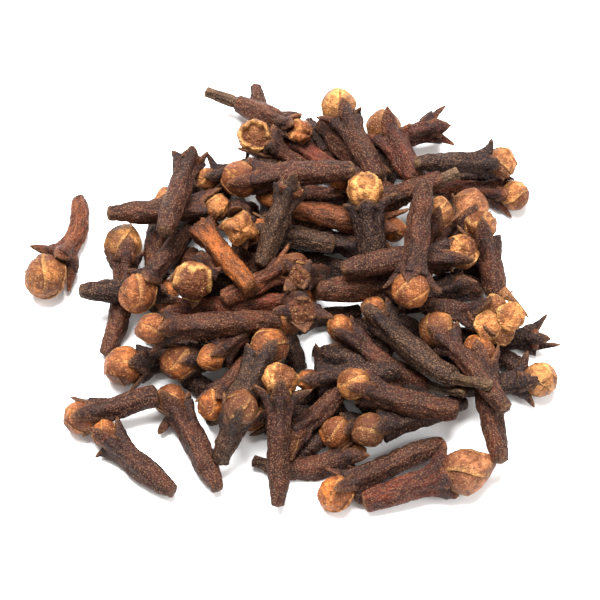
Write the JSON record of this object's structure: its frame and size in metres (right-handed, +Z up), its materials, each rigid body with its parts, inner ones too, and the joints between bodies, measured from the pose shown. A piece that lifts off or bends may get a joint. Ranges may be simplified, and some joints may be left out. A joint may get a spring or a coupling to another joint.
{
  "type": "heap of whole cloves",
  "caption": "Loose heap of whole dried cloves as poured on a flat surface, with a stray clove beside it; a spice for table, kitchen and food scenes.",
  "frame": {"origin": "on the surface under the middle of the heap, at the flat spot that the heap rests on", "axes": "+X to the right of the heap as seen from its front, +Y to its back, +Z up from the surface; the stray clove lies on the -X side"},
  "size_m": [0.0681, 0.0612, 0.0137],
  "materials": {
    "dried_clove": "matte"
  },
  "bodies": {
    "root": {"clove_heap": "dried_clove", "stray_clove": "dried_clove"}
  },
  "joints": []
}
